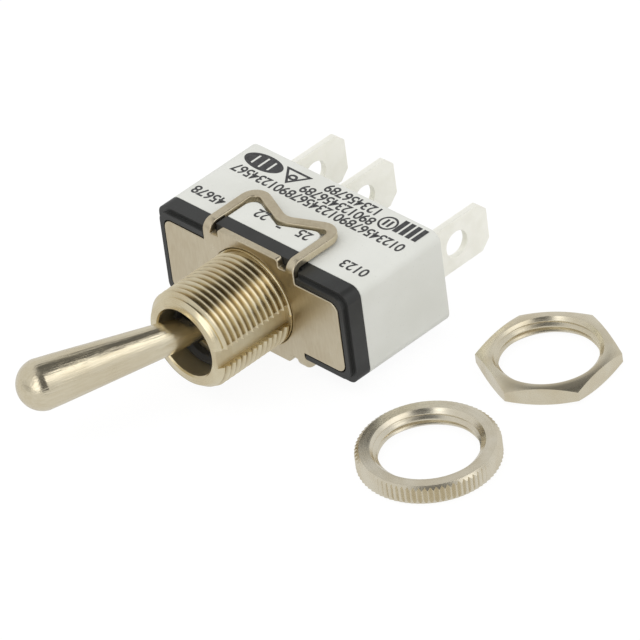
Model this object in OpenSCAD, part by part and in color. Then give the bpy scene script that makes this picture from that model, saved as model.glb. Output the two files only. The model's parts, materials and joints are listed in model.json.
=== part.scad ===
// Panel toggle switch, single pole, two positions, with its two mounting nuts laid beside it.
// +Z is up and square to the broad faces, X runs along the case, and the bushing points along -Y.
// The origin is the bushing's axis at the front face of the bracket, which seats on the panel.

/* [Case and cover] */
// Length of the case along X
case_length = 29.4; // [29:0.1:36]
// Thickness of the case between its broad faces
case_thickness = 12; // [11.6:0.1:15]
// Distance from the bracket's front face to the back of the case
case_back = 15.1; // [14.6:0.1:20]
// Depth of the black cover behind the bracket's front face
cover_depth = 2.6; // [2.4:0.1:3.2]
// Radius of the case's long corners
case_corner = 1.3; // [0.6:0.1:2]
// Wall of the case
case_wall = 1.3; // [1:0.1:1.6]
// Height of the raised pads above the broad faces
pad_height = 0.9; // [0.4:0.1:1.2]

/* [Bracket] */
// Thickness of the bracket's sheet
sheet = 0.9; // [0.6:0.1:1.2]
// Length of the plate, lobe to lobe
plate_length = 26.9; // [22:0.1:27.4]
// Height of the lobes of the plate
plate_height = 9.3; // [8:0.1:10]
// Width of the loop's strip
strip = 1.2; // [0.9:0.1:1.5]
// Width over the outside of the two legs of a loop
loop_width = 14.1; // [13:0.1:17]
// Reach of the loop's shoulders behind the bracket's front face
loop_reach = 8.2; // [7.4:0.1:10]
// Slope of the strip down to the dip in the middle of a loop
dip_slope = 23; // [16:1:28]

/* [Bushing] */
// Outside diameter of the bushing's thread
bushing_d = 11.9; // [11.5:0.1:12.5]
// Length of the bushing in front of the bracket
bushing_length = 10.7; // [8.9:0.1:14]
// Room between the lever and the bushing's mouth at the end of its swing
mouth_gap = 0.1; // [0.05:0.05:0.4]
// Width of the keyway
keyway_width = 2.3; // [1.5:0.1:2.6]
// Depth of the keyway
keyway_depth = 0.9; // [0.5:0.1:0.9]

/* [Lever] */
// Distance from the pivot to the centre of the lever's round tip
lever_length = 21.4; // [18:0.1:28]
// Diameter of the lever's round tip
tip_d = 5.9; // [5:0.1:6.6]
// Diameter of the lever's shaft where it meets the neck
shaft_d = 3.7; // [3.4:0.1:3.8]
// Diameter of the lever's neck
neck_d = 3.1; // [2.6:0.1:3.2]
// Angle of the lever from the bushing's axis in each position
lever_angle = 20; // [16:1:20]
// Distance of the pivot behind the middle of the bushing's length
pivot_offset = 0.35; // [0:0.05:0.6]
// Diameter of the pivot ball
ball_d = 6; // [5.6:0.1:6.2]

/* [Terminals] */
// Width of a terminal blade
blade_width = 6.3; // [4.8:0.1:6.4]
// Thickness of a terminal blade
blade_thick = 0.8; // [0.5:0.1:1]
// Length of a blade behind the case
blade_length = 10.1; // [8:0.1:14]
// Diameter of the hole in a blade
blade_hole = 3.2; // [1.5:0.1:3.4]
// Distance of the end terminals from the middle of the case
end_terminal_x = 11; // [10.6:0.1:11.8]
// Distance of the common terminal from the middle of the case
common_x = 3.3; // [2.8:0.1:5]

/* [Nuts] */
// Width of the hexagon nut across its flats
hex_flats = 14; // [13.6:0.1:17]
// Thickness of the hexagon nut
hex_thick = 2.2; // [1.6:0.1:3]
// Diameter of the knurled nut
knurled_d = 16; // [14.5:0.1:20]
// Thickness of the knurled nut
knurled_thick = 2.35; // [1.6:0.05:3.5]
// Depth of the thread, from its crest to its root
thread_depth = 0.4; // [0.3:0.05:0.5]

/* [Hidden] */
$fn = 96;

// Clearances
slide_gap = 0.05;      // round a sliding or turning piece
seat_gap = 0.05;       // round a piece pushed into its seat
loop_gap = 0.2;        // between a pad and the loop round it
rest_gap = 0.03;       // between contacts that touch
over = 1;              // how far a cut runs past the face that it opens

// Case and cover
cover_front = 0.1;     // the cover's rim lies this far behind the bracket's front face
cover_chamfer = 0.5;
recess_gap = 0.15;     // round the plate in the cover's recess
back_wall = case_wall;
cavity_back = case_back - back_wall;
cavity_length = case_length - 2 * case_wall;
cavity_thickness = case_thickness - 2 * case_wall;
spigot_depth = 1;
spigot_wall = 1;
rib_width = 1.6;

// Bracket
plate_corner = 1.1;
tongue_half = 4.7;
leg_outer = loop_width / 2;
leg_inner = leg_outer - strip;
pad_top = case_thickness / 2 + pad_height;
strip_top = pad_top + 0.3;
strip_bottom = strip_top - sheet;
bend_inner = 0.4;
bend_z = strip_bottom - bend_inner;
bend_y = sheet + bend_inner;
notch_bottom = bend_z;
tongue_top = strip_top - 0.25;
shoulder_radius = 2;
dip_radius = 2;
// where the outer lines of the leg and the slope cross, from the reach of the shoulder
slope_at_leg = loop_reach + shoulder_radius * (1 / cos(dip_slope) + tan(dip_slope) - 1);
dip_outer = slope_at_leg - leg_outer * tan(dip_slope);

// Bushing
bushing_r = bushing_d / 2;
chamfer_length = 0.95;
undercut_from = 0.55;
undercut_to = 0.25;
flange_length = 0.6;     // behind the bracket's sheet
flange_lip = 0.75;       // how far the flange reaches past the hole in the sheet
pin_r = 0.6;
pin_half = 4.35;

// Lever, measured forward from the pivot
pivot_y = pivot_offset - bushing_length / 2;
ball_r = ball_d / 2;
neck_end = bushing_length + pivot_y;
shaft_start = neck_end + 0.7;
tail_r = 1.7;
spring_start = 3.2;
spring_length = 4;
spring_bore_r = 1.1;
swing_gap = 0.4;         // round the lever at each end of its swing
plunger_r = spring_bore_r - slide_gap;
plunger_tip_r = 1.1;
wire_r = 0.15;
spring_turns = 6;

// Rocker, measured from its own pivot
rocker_y = 9.8;
rocker_tilt = 8;
rocker_sheet = 0.8;
rocker_width = 3;
rocker_arc = 45;
boss_r = 1.1;
boss_width = 1.6;
rocker_pin_r = 0.6;
rocker_pin_half = 1.8;
pivot_span = rocker_y - pivot_y;
tip_rise = 2.8;          // from the rocker's pivot to the tip's centre as it passes the middle
plunger_tip = pivot_span - tip_rise;
tail_end = plunger_tip - 2.5;
// The radius that a piece of the lever needs at a distance from its pivot, at the end of its swing
function swept(distance, r) = distance * tan(lever_angle) + r / cos(lever_angle);
mouth_r = swept(neck_end, shaft_d / 2) + mouth_gap;
bushing_chamfer = min(0.75, (bushing_r - mouth_r) / 2);
seal_front = neck_end - 2.3;        // in front of the pivot
seal_back = neck_end - 3.5;
taper_start = seal_front + 0.2;     // the neck widens from here to the shaft
seal_hole_r = swept(seal_front, neck_d / 2) + 0.2;
lip_r = swept(seal_back, neck_d / 2) + 0.1;
tail_bore_from = 2.8;               // behind the pivot
tail_bore_r = swept(sheet + flange_length - pivot_y, tail_r) + swing_gap;
undercut_r = bushing_r - min(0.3, (bushing_r - tail_bore_r) / 2);
plate_hole_r = bushing_r + seat_gap;
shank_r = bushing_r - seat_gap;     // the bushing narrows to this through the sheet
flange_r = plate_hole_r + flange_lip;
cover_hole_r = swept(cover_depth - pivot_y, tail_r) + swing_gap;
// where the plunger's tip lies over the rocker's middle, and at the end of its travel
tip_mid = plunger_tip - pivot_span;
tip_x = plunger_tip * sin(lever_angle) * cos(rocker_tilt)
    + (plunger_tip * cos(lever_angle) - pivot_span) * sin(rocker_tilt);
tip_y = -plunger_tip * sin(lever_angle) * sin(rocker_tilt)
    + (plunger_tip * cos(lever_angle) - pivot_span) * cos(rocker_tilt);
tip_path_r = (pow(tip_x, 2) + pow(tip_mid - tip_y, 2)) / (2 * (tip_mid - tip_y));
trough_y = tip_mid - tip_path_r;
trough_r = tip_path_r + plunger_tip_r + 0.08;
arm_y = trough_y + (trough_r + rocker_sheet) * cos(rocker_arc);
arm_reach = 8.7;

// Contacts
contact_x = 7.4;
contact_r = 1.2;
contact_height = 0.8;
contact_crown = 3;
crown_y = arm_y + contact_height - contact_crown;
touch_x = contact_x * cos(rocker_tilt) - crown_y * sin(rocker_tilt);
touch_y = rocker_y + contact_x * sin(rocker_tilt) + crown_y * cos(rocker_tilt) + contact_crown;
fixed_top = touch_y + rest_gap;
fixed_height = 0.9;
fixed_r = 1.4;

// Terminals
blade_end = case_back + blade_length;
blade_chamfer = 1.2;
hole_from_end = 4.9;
inner_half = 1.75;       // half width of the terminals inside the case
shelf_y = fixed_top + fixed_height;
ear_half = 1.4;
ear_inner = 0.95;
foot_y = cavity_back - blade_thick;

// Nuts, lying on the surface that the lower loop rests on
floor_z = -strip_top;
nut_bore_r = bushing_r - thread_depth;
hex_countersink = min(0.6, 0.32 * hex_thick);
knurled_countersink = min(0.75, 0.32 * knurled_thick);
hex_place = [27.9, 16.8];
hex_turn = 37;
knurled_place = [29.1, -3.2];

// Colours
nickel = [0.74, 0.7, 0.6];
tin = [0.86, 0.86, 0.82];
brass = [0.8, 0.64, 0.36];
silver = [0.85, 0.85, 0.85];
charcoal = [0.2, 0.2, 0.2];
pale_grey = [0.84, 0.85, 0.83];
rubber = [0.08, 0.08, 0.08];

// ---------- outlines ----------

function unit(v) = v / norm(v);

// One corner of a closed outline, rounded to the radius in its third number
function corner(a, p, b, steps) =
    let (here = [p[0], p[1]], u = unit([a[0], a[1]] - here), v = unit([b[0], b[1]] - here),
        half = acos(u * v) / 2, c = here + unit(u + v) * p[2] / sin(half),
        s = here + u * p[2] / tan(half) - c, e = here + v * p[2] / tan(half) - c,
        turn = atan2(s[0] * e[1] - s[1] * e[0], s * e))
    [for (i = [0 : steps]) let (w = turn * i / steps)
        c + [s[0] * cos(w) - s[1] * sin(w), s[0] * sin(w) + s[1] * cos(w)]];

// A closed outline of [x, y, radius] points
function rounded(p, steps = 8) =
    [for (i = [0 : len(p) - 1])
        each p[i][2] == 0 ? [[p[i][0], p[i][1]]]
            : corner(p[(i + len(p) - 1) % len(p)], p[i], p[(i + 1) % len(p)], steps)];

module rounded_box(width, height, radius) {
    square([width, height - 2 * radius], center = true);
    square([width - 2 * radius, height], center = true);
    for (sx = [-1, 1], sy = [-1, 1])
        translate([sx * (width / 2 - radius), sy * (height / 2 - radius)]) circle(radius);
}

// Extrudes an outline in the XZ plane from one depth to another
module along_y(from, to) {
    translate([0, to, 0]) rotate([90, 0, 0]) linear_extrude(to - from) children();
}

// Turns a profile of [radius, depth] about the bushing's axis
module turned(profile) {
    rotate([-90, 0, 0]) rotate_extrude() polygon(profile);
}

module case_outline(inset = 0) {
    rounded_box(case_length - 2 * inset, case_thickness - 2 * inset, case_corner);
}

// The raised pad on a broad face, notched like the loop, with its front edge at a given depth
module pad_outline(front) {
    half = leg_inner - loop_gap;
    dip = dip_outer - (strip + loop_gap) / cos(dip_slope);
    side = dip + half * tan(dip_slope);
    polygon(rounded([[-half, front, 0], [half, front, 0], [half, side, 1.2], [0, dip, 0.2],
        [-half, side, 1.2]], 6));
}

// One loop seen square to the broad face, from the bend to its shoulders and dip
module loop_outline() {
    inner = dip_outer - strip / cos(dip_slope);
    rise = tan(dip_slope);
    polygon(rounded([[leg_outer, bend_y, 0], [leg_outer, dip_outer + leg_outer * rise, shoulder_radius],
        [0, dip_outer, dip_radius], [-leg_outer, dip_outer + leg_outer * rise, shoulder_radius],
        [-leg_outer, bend_y, 0], [-leg_inner, bend_y, 0],
        [-leg_inner, inner + leg_inner * rise, shoulder_radius - strip],
        [0, inner, dip_radius + strip],
        [leg_inner, inner + leg_inner * rise, shoulder_radius - strip], [leg_inner, bend_y, 0]]));
}

// Repeats a thing on the lower broad face
module both_faces() {
    children();
    mirror([0, 0, 1]) children();
}

// ---------- case and cover ----------

module case() {
    color(pale_grey) difference() {
        union() {
            along_y(cover_depth, case_back) case_outline();
            both_faces() linear_extrude(pad_top) pad_outline(cover_depth);
        }
        difference() {
            along_y(cover_depth - over, cavity_back)
                rounded_box(cavity_length, cavity_thickness, case_corner / 2);
            for (side = [-1, 1])
                translate([side * touch_x - rib_width / 2, shelf_y + blade_thick, -case_thickness / 2])
                    cube([rib_width, cavity_back, case_thickness]);
        }
        for (x = [-end_terminal_x, -common_x, end_terminal_x])
            translate([x, case_back, 0])
                cube([blade_thick + 2 * seat_gap, 2 * back_wall + over, blade_width + 2 * seat_gap],
                    center = true);
    }
}

module cover() {
    color(charcoal) difference() {
        union() {
            along_y(cover_front + cover_chamfer, cover_depth) case_outline();
            along_y(cover_front, cover_front + cover_chamfer + slide_gap) case_outline(cover_chamfer);
            both_faces() translate([0, sheet, 0])
                translate([-(leg_inner - loop_gap), 0, 0])
                    cube([2 * (leg_inner - loop_gap), cover_depth - sheet, pad_top]);
            along_y(cover_depth, cover_depth + spigot_depth) difference() {
                rounded_box(cavity_length - 2 * seat_gap, cavity_thickness - 2 * seat_gap, case_corner / 2);
                rounded_box(cavity_length - 2 * spigot_wall, cavity_thickness - 2 * spigot_wall,
                    case_corner / 2);
            }
        }
        along_y(cover_front - over, sheet) {
            rounded_box(plate_length + 2 * recess_gap, plate_height + 2 * recess_gap,
                plate_corner + recess_gap);
            square([loop_width + 2 * recess_gap, case_thickness + 2 * over], center = true);
        }
        for (sx = [-1, 1], sz = [-1, 1])
            translate([sx * (leg_inner + leg_outer) / 2, bend_y + slide_gap - over,
                sz * (bend_z - slide_gap + over)])
                cube([strip + 2 * recess_gap, 2 * over, 2 * over], center = true);
        rotate([-90, 0, 0]) cylinder(r = flange_r + seat_gap, h = sheet + flange_length);
        rotate([-90, 0, 0]) cylinder(r = cover_hole_r, h = cover_depth + over);
    }
}

// ---------- bracket ----------

module plate_outline() {
    difference() {
        union() {
            rounded_box(plate_length, plate_height, plate_corner);
            square([loop_width, 2 * bend_z], center = true);
            rounded_box(2 * tongue_half, 2 * tongue_top, 0.4);
        }
        for (sx = [-1, 1], sz = [-1, 1])
            translate([sx * (tongue_half + leg_inner) / 2, sz * (notch_bottom + over)])
                square([leg_inner - tongue_half, 2 * over], center = true);
    }
}

module leg_bend() {
    translate([0, bend_y, bend_z]) rotate([0, -90, 0]) linear_extrude(strip) intersection() {
        difference() {
            circle(bend_inner + sheet);
            circle(bend_inner);
        }
        translate([0, -2 * sheet]) square(2 * sheet);
    }
}

module bracket() {
    color(nickel) difference() {
        union() {
            along_y(0, sheet) plate_outline();
            both_faces() {
                translate([0, 0, strip_bottom]) linear_extrude(sheet) loop_outline();
                for (x = [leg_outer, -leg_inner]) translate([x, 0, 0]) leg_bend();
            }
        }
        translate([0, -over, 0]) rotate([-90, 0, 0]) cylinder(r = plate_hole_r, h = sheet + 2 * over);
    }
}

// ---------- bushing and seal ----------

module bushing() {
    front = -bushing_length;
    color(nickel) difference() {
        turned([[mouth_r, front + 0.15], [mouth_r + 0.15, front],
            [bushing_r - bushing_chamfer, front], [bushing_r, front + chamfer_length],
            [bushing_r, -undercut_from], [undercut_r, -undercut_from + 0.1],
            [undercut_r, -undercut_to], [bushing_r, -undercut_to], [bushing_r, 0],
            [shank_r, sheet],
            [flange_r, sheet], [flange_r, sheet + flange_length / 2],
            [flange_r - 0.3, sheet + flange_length], [tail_bore_r, sheet + flange_length],
            [tail_bore_r, pivot_y + tail_bore_from], [ball_r + slide_gap, pivot_y + tail_bore_from],
            [ball_r + slide_gap, pivot_y], [lip_r, pivot_y], [lip_r, pivot_y - seal_back],
            [mouth_r, pivot_y - seal_back]]);
        translate([0, pivot_y, 0]) sphere(ball_r + slide_gap);
        translate([bushing_r - keyway_depth, front - over, -keyway_width / 2])
            cube([2 * keyway_depth, bushing_length + over - undercut_to, keyway_width]);
        for (side = [-1, 1]) scale([1, 1, side]) pin_groove();
    }
}

// The groove inside the bushing that one end of the pivot pin slides down
module pin_groove() {
    translate([0, pivot_y, 0]) {
        cylinder(r = pin_r + slide_gap, h = tail_bore_r);
        translate([-pin_r - slide_gap, 0, 0])
            cube([2 * (pin_r + slide_gap), tail_bore_from + slide_gap, tail_bore_r]);
    }
}

module seal_ring() {
    r = mouth_r;
    front = pivot_y - seal_front;
    back = pivot_y - seal_back;
    color(rubber) turned([[seal_hole_r, front + 0.35], [seal_hole_r + 0.35, front], [r - 0.3, front],
        [r, front + 0.3], [r, back], [seal_hole_r + 0.2, back], [seal_hole_r, back - 0.2]]);
}

// ---------- lever ----------

// Places a thing drawn along +Z from the pivot, where +Z points out of the bushing
module on_lever() {
    translate([0, pivot_y, 0]) rotate([0, 0, -lever_angle]) rotate([90, 0, 0]) children();
}

module lever() {
    color(nickel) difference() {
        on_lever() difference() {
            union() {
                sphere(ball_r);
                cylinder(d = neck_d, h = shaft_start);
                translate([0, 0, taper_start])
                    cylinder(d1 = neck_d, d2 = shaft_d, h = shaft_start - taper_start);
                translate([0, 0, shaft_start])
                    cylinder(d1 = shaft_d, d2 = tip_d - 0.2, h = lever_length - shaft_start - 0.5);
                translate([0, 0, lever_length]) sphere(tip_d / 2);
                translate([0, 0, -tail_end]) cylinder(r = tail_r, h = tail_end);
            }
            translate([0, 0, -tail_end - over])
                cylinder(r = spring_bore_r, h = tail_end - spring_start + over);
        }
        translate([0, pivot_y, -ball_r - over]) cylinder(r = pin_r, h = 2 * (ball_r + over));
    }
}

module pivot_pin() {
    color(silver) translate([0, pivot_y, -pin_half]) cylinder(r = pin_r, h = 2 * pin_half);
}

// One ring of a wire that follows a helix of a given radius and length
function ring_at(a, radius, pitch, sides) =
    [for (i = [0 : sides - 1]) let (w = 360 * i / sides, r = radius + wire_r * cos(w))
        [r * cos(a), r * sin(a), pitch * a / 360 + wire_r * sin(w)]];

module helix(radius, length, turns, step = 24, sides = 8) {
    rings = turns * 360 / step;
    points = [for (k = [0 : rings]) each ring_at(k * step, radius, length / turns, sides)];
    polyhedron(points, concat(
        [[for (i = [0 : sides - 1]) i]],
        [for (k = [0 : rings - 1], i = [0 : sides - 1]) let (n = (i + 1) % sides)
            [k * sides + i, (k + 1) * sides + i, (k + 1) * sides + n, k * sides + n]],
        [[for (i = [sides - 1 : -1 : 0]) rings * sides + i]]));
}

module plunger_spring() {
    color(silver) on_lever() translate([0, 0, -spring_start - spring_length + wire_r])
        helix(spring_bore_r - slide_gap - wire_r, spring_length - 2 * wire_r, spring_turns);
}

module plunger() {
    color(charcoal) on_lever() {
        translate([0, 0, -plunger_tip])
            cylinder(r = plunger_r, h = plunger_tip - spring_start - spring_length);
        translate([0, 0, -plunger_tip]) sphere(plunger_tip_r);
    }
}

// ---------- rocker and contacts ----------

// Places a thing drawn about the rocker's own pivot, level, with +Y toward the terminals
module on_rocker() {
    translate([0, rocker_y, 0]) rotate([0, 0, rocker_tilt]) children();
}

module rocker() {
    start = (trough_r + rocker_sheet / 2) * sin(rocker_arc);
    color(brass) on_rocker() difference() {
        union() {
            translate([0, 0, -rocker_width / 2]) linear_extrude(rocker_width) {
                translate([0, trough_y]) intersection() {
                    difference() {
                        circle(trough_r + rocker_sheet);
                        circle(trough_r);
                    }
                    far = 2 * trough_r;
                    polygon([[0, 0], [far * sin(rocker_arc), far * cos(rocker_arc)], [far, 2 * far],
                        [-far, 2 * far], [-far * sin(rocker_arc), far * cos(rocker_arc)]]);
                }
                for (side = [-1, 1])
                    translate([side * (start + arm_reach) / 2, arm_y - rocker_sheet / 2])
                        square([arm_reach - start, rocker_sheet], center = true);
            }
            translate([0, 0, -boss_width / 2]) cylinder(r = boss_r, h = boss_width);
        }
        translate([0, 0, -rocker_width]) cylinder(r = rocker_pin_r, h = 2 * rocker_width);
    }
}

module rocker_pin() {
    color(silver) on_rocker() translate([0, 0, -rocker_pin_half])
        cylinder(r = rocker_pin_r, h = 2 * rocker_pin_half);
}

module moving_contact(side) {
    color(silver) on_rocker() translate([side * contact_x, 0, 0]) intersection() {
        translate([0, arm_y, 0]) rotate([-90, 0, 0]) cylinder(r = contact_r, h = contact_height);
        translate([0, crown_y, 0]) sphere(contact_crown);
    }
}

module fixed_contact(side) {
    color(silver) translate([side * touch_x, fixed_top, 0]) rotate([-90, 0, 0])
        cylinder(r = fixed_r, h = fixed_height);
}

module moving_contact_left() { moving_contact(-1); }
module moving_contact_right() { moving_contact(1); }
module fixed_contact_left() { fixed_contact(-1); }
module fixed_contact_right() { fixed_contact(1); }

// ---------- terminals ----------

// The blade outside the case, from a given depth, square to the X axis and centred on it
module blade(from) {
    half = blade_width / 2;
    rotate([90, 0, 90]) translate([0, 0, -blade_thick / 2]) linear_extrude(blade_thick) difference() {
        polygon([[from, -half], [blade_end - blade_chamfer, -half], [blade_end, -half + blade_chamfer],
            [blade_end, half - blade_chamfer], [blade_end - blade_chamfer, half], [from, half]]);
        translate([blade_end - hole_from_end, 0]) circle(blade_hole / 2);
    }
}

module end_terminal(side) {
    outer = end_terminal_x + blade_thick / 2;
    inner = touch_x - fixed_r;
    color(tin) scale([side, 1, 1]) {
        translate([end_terminal_x, 0, 0]) blade(cavity_back);
        translate([outer - blade_thick, shelf_y, -inner_half])
            cube([blade_thick, cavity_back - shelf_y + slide_gap, 2 * inner_half]);
        translate([inner, shelf_y, -inner_half]) cube([outer - inner, blade_thick, 2 * inner_half]);
    }
}

module end_terminal_left() { end_terminal(-1); }
module end_terminal_right() { end_terminal(1); }

module common_terminal() {
    near = -common_x - blade_thick / 2;
    color(tin) {
        translate([-common_x, 0, 0]) blade(cavity_back);
        translate([near, foot_y, -inner_half])
            cube([ear_half - near, blade_thick, 2 * inner_half]);
        translate([near, foot_y, -inner_half])
            cube([blade_thick, blade_thick + slide_gap, 2 * inner_half]);
        for (side = [-1, 1]) scale([1, 1, side]) difference() {
            translate([-ear_half, rocker_y + 0.1, ear_inner])
                cube([2 * ear_half, foot_y - rocker_y, inner_half - ear_inner]);
            translate([0, rocker_y, 0]) cylinder(r = rocker_pin_r + slide_gap, h = 2 * inner_half);
        }
    }
}

// ---------- nuts ----------

// A turned ring with its bore countersunk from both faces
module nut_blank(outer, edge, thick, countersink) {
    wide = nut_bore_r + countersink;
    rotate_extrude() polygon([[nut_bore_r, countersink], [wide, 0], [outer - edge, 0],
        [outer, edge * 0.6], [outer, thick - edge * 0.6], [outer - edge, thick], [wide, thick],
        [nut_bore_r, thick - countersink]]);
}

module hex_nut() {
    color(nickel) translate([hex_place[0], hex_place[1], floor_z]) rotate(hex_turn) intersection() {
        nut_blank(hex_flats / sqrt(3), hex_flats / sqrt(3) - hex_flats / 2 + 0.1, hex_thick,
            hex_countersink);
        cylinder(d = hex_flats * 2 / sqrt(3), h = hex_thick, $fn = 6);
    }
}

module knurled_nut() {
    color(nickel) translate([knurled_place[0], knurled_place[1], floor_z])
        nut_blank(knurled_d / 2, 0.35, knurled_thick, knurled_countersink);
}

case();
cover();
bracket();
bushing();
seal_ring();
lever();
pivot_pin();
plunger_spring();
plunger();
rocker();
rocker_pin();
moving_contact_left();
moving_contact_right();
fixed_contact_left();
fixed_contact_right();
end_terminal_left();
end_terminal_right();
common_terminal();
hex_nut();
knurled_nut();
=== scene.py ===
import bpy, json, math
from mathutils import Matrix, Vector


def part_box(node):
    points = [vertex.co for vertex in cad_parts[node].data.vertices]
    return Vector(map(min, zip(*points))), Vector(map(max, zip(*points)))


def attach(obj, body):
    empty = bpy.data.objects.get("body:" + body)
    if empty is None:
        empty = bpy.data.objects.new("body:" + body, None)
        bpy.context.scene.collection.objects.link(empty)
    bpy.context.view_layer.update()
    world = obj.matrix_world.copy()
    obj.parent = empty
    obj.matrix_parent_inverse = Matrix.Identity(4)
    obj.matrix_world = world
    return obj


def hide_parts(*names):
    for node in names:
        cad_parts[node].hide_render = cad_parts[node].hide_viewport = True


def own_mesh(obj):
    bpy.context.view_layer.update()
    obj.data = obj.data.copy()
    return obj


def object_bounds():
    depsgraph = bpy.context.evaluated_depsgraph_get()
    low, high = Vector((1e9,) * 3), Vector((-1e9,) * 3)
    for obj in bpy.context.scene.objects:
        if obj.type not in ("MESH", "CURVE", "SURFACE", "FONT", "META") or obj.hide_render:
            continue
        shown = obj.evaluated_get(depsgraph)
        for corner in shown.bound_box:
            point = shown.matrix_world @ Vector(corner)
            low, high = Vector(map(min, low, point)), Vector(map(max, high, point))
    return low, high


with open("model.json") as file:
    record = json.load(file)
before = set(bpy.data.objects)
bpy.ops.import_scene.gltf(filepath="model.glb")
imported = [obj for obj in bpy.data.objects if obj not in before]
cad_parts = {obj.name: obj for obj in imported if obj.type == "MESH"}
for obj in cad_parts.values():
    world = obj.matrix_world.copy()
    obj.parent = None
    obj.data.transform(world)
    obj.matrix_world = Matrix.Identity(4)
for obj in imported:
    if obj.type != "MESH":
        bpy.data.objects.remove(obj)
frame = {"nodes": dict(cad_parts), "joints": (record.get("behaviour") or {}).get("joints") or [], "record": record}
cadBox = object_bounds()

mm = 0.001
toMm = 1 / mm
touching = {"drawn": 0.0005, "carved": 0.0004}  # points nearer than this are one, in millimetres
leverLean = -20  # degrees from the bushing's axis, where the lever rests
joints = {joint["name"]: joint for joint in frame["joints"]}
pivot = Vector(joints["lever_swing"]["pos_m"]) / mm
mounts = {mount["name"]: mount for mount in frame["record"]["mounts"]}


def deselectAll():
    if bpy.context.mode != "OBJECT":
        bpy.ops.object.mode_set(mode="OBJECT")
    bpy.ops.object.select_all(action="DESELECT")


def pickUp(piece):
    deselectAll()
    piece.select_set(True)
    bpy.context.view_layer.objects.active = piece


def startEdit(piece, kind="VERT"):
    pickUp(piece)
    bpy.ops.object.mode_set(mode="EDIT")
    bpy.ops.mesh.select_mode(type=kind)
    bpy.ops.mesh.select_all(action="SELECT")


def stopEdit():
    bpy.ops.object.mode_set(mode="OBJECT")


# Makes one point of those that touch, in edit mode
def weld(nearer):
    bpy.ops.mesh.select_all(action="SELECT")
    bpy.ops.mesh.remove_doubles(threshold=nearer)


# A node's lowest and highest corners, in millimetres
def nodeBox(node):
    low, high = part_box(node)
    return low / mm, high / mm


# Applies a modifier straight away
def finishWith(piece, kind, **settings):
    pickUp(piece)
    modifier = piece.modifiers.new(kind.title(), kind)
    for setting, value in settings.items():
        setattr(modifier, setting, value)
    bpy.ops.object.modifier_apply(modifier=modifier.name)
    return piece


def roundEdges(piece, width, segments=3, angle=35):
    return finishWith(piece, "BEVEL", width=width, segments=segments, limit_method="ANGLE",
                      angle_limit=math.radians(angle), use_clamp_overlap=False, miter_outer="MITER_ARC")


# Cuts a piece with a tool, and clears the slivers that the cut leaves
def carve(piece, tool, operation="DIFFERENCE"):
    finishWith(piece, "BOOLEAN", object=tool, operation=operation, solver="EXACT")
    bpy.data.objects.remove(tool)
    startEdit(piece)
    weld(touching["carved"])
    bpy.ops.mesh.dissolve_degenerate(threshold=touching["carved"])
    stopEdit()
    return piece


# Selects the sharp edges whose middles pass a test, and stays in edit mode
def selectSharp(piece, angle, wanted):
    startEdit(piece, "EDGE")
    bpy.ops.mesh.select_all(action="DESELECT")
    bpy.ops.mesh.edges_select_sharp(sharpness=math.radians(angle))
    stopEdit()
    points = piece.data.vertices
    for edge in piece.data.edges:
        middle = (points[edge.vertices[0]].co + points[edge.vertices[1]].co) / 2
        edge.select = edge.select and wanted(middle)
    bpy.ops.object.mode_set(mode="EDIT")


# A clean copy of a CAD node, in millimetres, with its flat faces whole
def fromNode(node, name):
    piece = bpy.data.objects.new(name, frame["nodes"][node].data.copy())
    bpy.context.scene.collection.objects.link(piece)
    piece.data.materials.clear()
    piece.data.transform(Matrix.Scale(toMm, 4))
    startEdit(piece)
    weld(touching["drawn"])
    bpy.ops.mesh.customdata_custom_splitnormals_clear()
    bpy.ops.mesh.mark_sharp(clear=True)
    bpy.ops.mesh.dissolve_limited(angle_limit=math.radians(0.3))
    stopEdit()
    return piece


# An outline in the XZ plane: one point, pulled out from corner to corner
def drawOutline(name, corners):
    (radius, height), *rest = corners
    bpy.ops.mesh.primitive_plane_add(size=1, location=(radius, 0, height))
    piece = bpy.context.active_object
    piece.name = name
    bpy.ops.object.transform_apply(location=True, rotation=True, scale=True)
    startEdit(piece)
    bpy.ops.mesh.merge(type="CENTER")
    for across, up in rest:
        bpy.ops.mesh.extrude_region_move(TRANSFORM_OT_translate={"value": (across - radius, 0, up - height)})
        radius, height = across, up
    weld(touching["drawn"])
    stopEdit()
    return piece


# An outline spun about Z
def turnOnLathe(name, corners, steps):
    piece = drawOutline(name, corners)
    startEdit(piece)
    bpy.ops.mesh.spin(steps=steps, angle=math.tau, center=(0, 0, 0), axis=(0, 0, 1))
    weld(touching["drawn"])
    bpy.ops.mesh.normals_make_consistent(inside=False)
    stopEdit()
    return piece


# A helical cutter: its outline runs from the thread's root to just past its crest
def threadCutter(outline, pitch, start, turns, steps=96):
    corners = [(radius, height + start) for radius, height in outline]
    piece = drawOutline("thread_cutter", corners + corners[:1])
    finishWith(piece, "SCREW", axis="Z", angle=math.tau, screw_offset=pitch, iterations=turns,
               steps=steps, render_steps=steps, use_smooth_shade=False)
    startEdit(piece)
    bpy.ops.mesh.fill_holes(sides=len(outline))
    bpy.ops.mesh.select_all(action="SELECT")
    bpy.ops.mesh.normals_make_consistent(inside=False)
    stopEdit()
    return piece


def boxBlank(name, low, high):
    low, high = Vector(low), Vector(high)
    bpy.ops.mesh.primitive_cube_add(size=1, location=(low + high) / 2)
    piece = bpy.context.active_object
    piece.name = name
    piece.scale = high - low
    bpy.ops.object.transform_apply(location=True, rotation=True, scale=True)
    return piece


# Points on an arc in a lathe outline, from one angle to another in degrees
def arcPoints(centre, radius, start, end, count):
    return [(centre[0] + radius * math.cos(math.radians(start + (end - start) * i / count)),
             centre[1] + radius * math.sin(math.radians(start + (end - start) * i / count)))
            for i in range(count + 1)]


# Turns a piece made along +Z to point out of the bushing, along -Y
outOfPanel = Matrix.Rotation(math.radians(90), 4, "X")


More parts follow.
